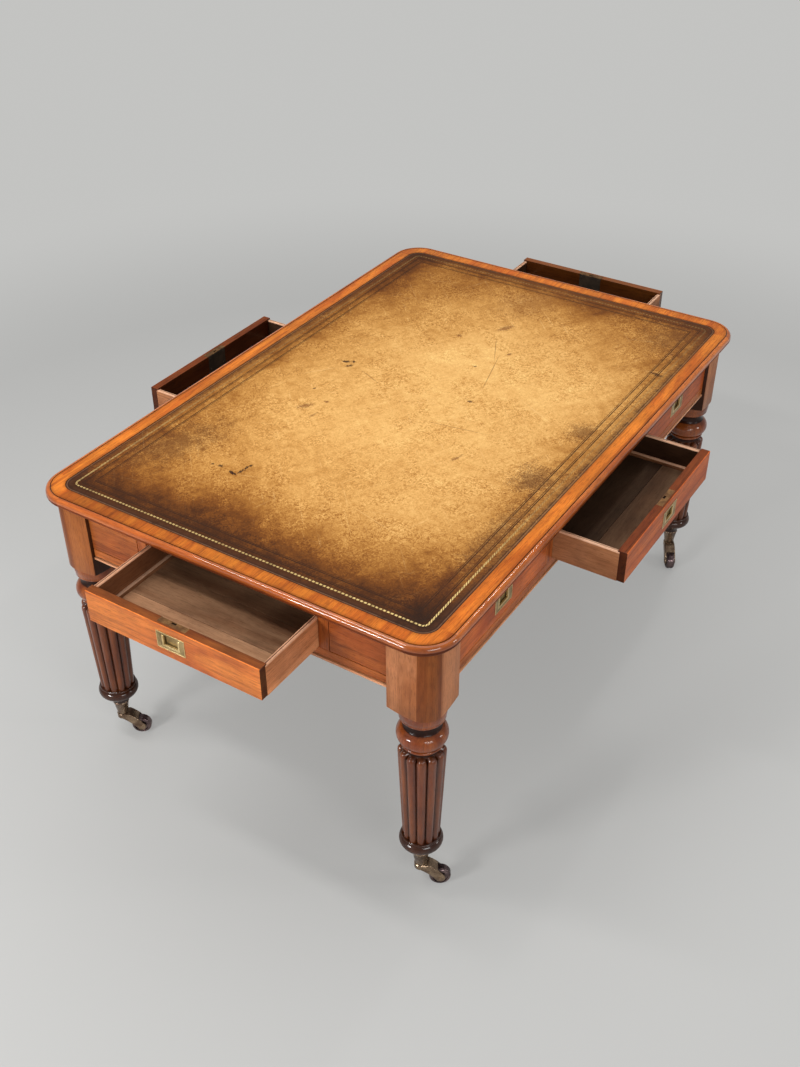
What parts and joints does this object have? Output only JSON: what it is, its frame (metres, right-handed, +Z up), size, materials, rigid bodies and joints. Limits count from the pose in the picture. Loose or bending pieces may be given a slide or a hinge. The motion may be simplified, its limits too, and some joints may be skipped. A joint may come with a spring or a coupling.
{
  "type": "partners desk",
  "caption": "Rectangular writing table with a leather-lined top, rounded corners, frieze drawers on all sides with flush bail handles, and reeded turned legs on castors.",
  "frame": {"origin": "on the floor, under the middle of the top", "axes": "+X along the desk's length, -Y towards the front long side, +Z up"},
  "size_m": [1.9214, 1.3224, 0.7622],
  "materials": {
    "mahogany": "polished",
    "carcass_wood": "matte",
    "drawer_lining": "matte",
    "tooled_leather": "satin",
    "antique_brass": "aged",
    "castor_brass": "aged",
    "castor_wheel_brass": "worn"
  },
  "bodies": {
    "desk": {"top_board": "mahogany", "crossband_border": "mahogany", "edge_moulding": "mahogany", "leather_skiver": "tooled_leather", "leg_front_left": "mahogany", "leg_front_right": "mahogany", "leg_back_left": "mahogany", "leg_back_right": "mahogany", "upper_rails": "mahogany", "lower_rails": "mahogany", "rail_beads": "mahogany", "drawer_divisions": "mahogany", "end_panels": "mahogany", "cross_partitions": "carcass_wood", "long_partitions": "carcass_wood", "drawer_runners": "carcass_wood", "drawer_kickers": "carcass_wood", "drawer_stops": "carcass_wood", "castor_cups": "castor_brass"},
    "drawer_front_centre": {"drawer_front_front_centre": "mahogany", "drawer_box_front_centre": "drawer_lining", "handle_and_lock_front_centre": "antique_brass"},
    "bail_front_centre": {"handle_bail_front_centre": "antique_brass"},
    "drawer_front_left": {"drawer_front_front_left": "mahogany", "drawer_box_front_left": "drawer_lining", "handle_and_lock_front_left": "antique_brass"},
    "bail_front_left": {"handle_bail_front_left": "antique_brass"},
    "drawer_front_right": {"drawer_front_front_right": "mahogany", "drawer_box_front_right": "drawer_lining", "handle_and_lock_front_right": "antique_brass"},
    "bail_front_right": {"handle_bail_front_right": "antique_brass"},
    "drawer_back_centre": {"drawer_front_back_centre": "mahogany", "drawer_box_back_centre": "drawer_lining", "handle_and_lock_back_centre": "antique_brass"},
    "bail_back_centre": {"handle_bail_back_centre": "antique_brass"},
    "drawer_back_left": {"drawer_front_back_left": "mahogany", "drawer_box_back_left": "drawer_lining", "handle_and_lock_back_left": "antique_brass"},
    "bail_back_left": {"handle_bail_back_left": "antique_brass"},
    "drawer_back_right": {"drawer_front_back_right": "mahogany", "drawer_box_back_right": "drawer_lining", "handle_and_lock_back_right": "antique_brass"},
    "bail_back_right": {"handle_bail_back_right": "antique_brass"},
    "drawer_left_end": {"drawer_front_left_end": "mahogany", "drawer_box_left_end": "drawer_lining", "handle_and_lock_left_end": "antique_brass"},
    "bail_left_end": {"handle_bail_left_end": "antique_brass"},
    "drawer_right_end": {"drawer_front_right_end": "mahogany", "drawer_box_right_end": "drawer_lining", "handle_and_lock_right_end": "antique_brass"},
    "bail_right_end": {"handle_bail_right_end": "antique_brass"},
    "castor_front_left": {"castor_horn_front_left": "castor_brass"},
    "wheel_front_left": {"castor_wheel_front_left": "castor_wheel_brass"},
    "castor_front_right": {"castor_horn_front_right": "castor_brass"},
    "wheel_front_right": {"castor_wheel_front_right": "castor_wheel_brass"},
    "castor_back_left": {"castor_horn_back_left": "castor_brass"},
    "wheel_back_left": {"castor_wheel_back_left": "castor_wheel_brass"},
    "castor_back_right": {"castor_horn_back_right": "castor_brass"},
    "wheel_back_right": {"castor_wheel_back_right": "castor_wheel_brass"}
  },
  "joints": [
    {"name": "slide_front_centre", "type": "slide", "parent": "desk", "child": "drawer_front_centre", "axis": [0, -1, 0], "range_m": [-0.171, 0.194]},
    {"name": "swing_front_centre", "type": "hinge", "parent": "drawer_front_centre", "child": "bail_front_centre", "pos_m": [0, -0.6552, 0.68145], "axis": [-1, 0, 0], "range_deg": [0, 90]},
    {"name": "slide_front_left", "type": "slide", "parent": "desk", "child": "drawer_front_left", "axis": [0, -1, 0], "range_m": [0, 0.172]},
    {"name": "swing_front_left", "type": "hinge", "parent": "drawer_front_left", "child": "bail_front_left", "pos_m": [-0.46095, -0.4842, 0.68145], "axis": [-1, 0, 0], "range_deg": [0, 90]},
    {"name": "slide_front_right", "type": "slide", "parent": "desk", "child": "drawer_front_right", "axis": [0, -1, 0], "range_m": [0, 0.172]},
    {"name": "swing_front_right", "type": "hinge", "parent": "drawer_front_right", "child": "bail_front_right", "pos_m": [0.46095, -0.4842, 0.68145], "axis": [-1, 0, 0], "range_deg": [0, 90]},
    {"name": "slide_back_centre", "type": "slide", "parent": "desk", "child": "drawer_back_centre", "axis": [0, 1, 0], "range_m": [-0.178, 0.187]},
    {"name": "swing_back_centre", "type": "hinge", "parent": "drawer_back_centre", "child": "bail_back_centre", "pos_m": [0, 0.6622, 0.68145], "axis": [1, 0, 0], "range_deg": [0, 90]},
    {"name": "slide_back_left", "type": "slide", "parent": "desk", "child": "drawer_back_left", "axis": [0, 1, 0], "range_m": [0, 0.172]},
    {"name": "swing_back_left", "type": "hinge", "parent": "drawer_back_left", "child": "bail_back_left", "pos_m": [-0.46095, 0.4842, 0.68145], "axis": [1, 0, 0], "range_deg": [0, 90]},
    {"name": "slide_back_right", "type": "slide", "parent": "desk", "child": "drawer_back_right", "axis": [0, 1, 0], "range_m": [0, 0.172]},
    {"name": "swing_back_right", "type": "hinge", "parent": "drawer_back_right", "child": "bail_back_right", "pos_m": [0.46095, 0.4842, 0.68145], "axis": [1, 0, 0], "range_deg": [0, 90]},
    {"name": "slide_left_end", "type": "slide", "parent": "desk", "child": "drawer_left_end", "axis": [-1, 0, 0], "range_m": [-0.185, 0.19]},
    {"name": "swing_left_end", "type": "hinge", "parent": "drawer_left_end", "child": "bail_left_end", "pos_m": [-0.9332, 0, 0.68145], "axis": [0, 1, 0], "range_deg": [0, 90]},
    {"name": "slide_right_end", "type": "slide", "parent": "desk", "child": "drawer_right_end", "axis": [1, 0, 0], "range_m": [-0.235, 0.14]},
    {"name": "swing_right_end", "type": "hinge", "parent": "drawer_right_end", "child": "bail_right_end", "pos_m": [0.9832, 0, 0.68145], "axis": [0, -1, 0], "range_deg": [0, 90]},
    {"name": "swivel_front_left", "type": "hinge", "parent": "desk", "child": "castor_front_left", "pos_m": [-0.7064, -0.4424, 0.05], "axis": [0, 0, 1], "continuous": true},
    {"name": "roll_front_left", "type": "hinge", "parent": "castor_front_left", "child": "wheel_front_left", "pos_m": [-0.6833, -0.47867, 0.024], "axis": [0.8434, 0.5373, 0], "continuous": true},
    {"name": "swivel_front_right", "type": "hinge", "parent": "desk", "child": "castor_front_right", "pos_m": [0.7064, -0.4424, 0.05], "axis": [0, 0, 1], "continuous": true},
    {"name": "roll_front_right", "type": "hinge", "parent": "castor_front_right", "child": "wheel_front_right", "pos_m": [0.67013, -0.4655, 0.024], "axis": [0.5373, -0.8434, 0], "continuous": true},
    {"name": "swivel_back_left", "type": "hinge", "parent": "desk", "child": "castor_back_left", "pos_m": [-0.7064, 0.4424, 0.05], "axis": [0, 0, 1], "continuous": true},
    {"name": "roll_back_left", "type": "hinge", "parent": "castor_back_left", "child": "wheel_back_left", "pos_m": [-0.6833, 0.40613, 0.024], "axis": [0.8434, 0.5373, 0], "continuous": true},
    {"name": "swivel_back_right", "type": "hinge", "parent": "desk", "child": "castor_back_right", "pos_m": [0.7064, 0.4424, 0.05], "axis": [0, 0, 1], "continuous": true},
    {"name": "roll_back_right", "type": "hinge", "parent": "castor_back_right", "child": "wheel_back_right", "pos_m": [0.74681, 0.42769, 0.024], "axis": [0.342, 0.9397, 0], "continuous": true}
  ]
}
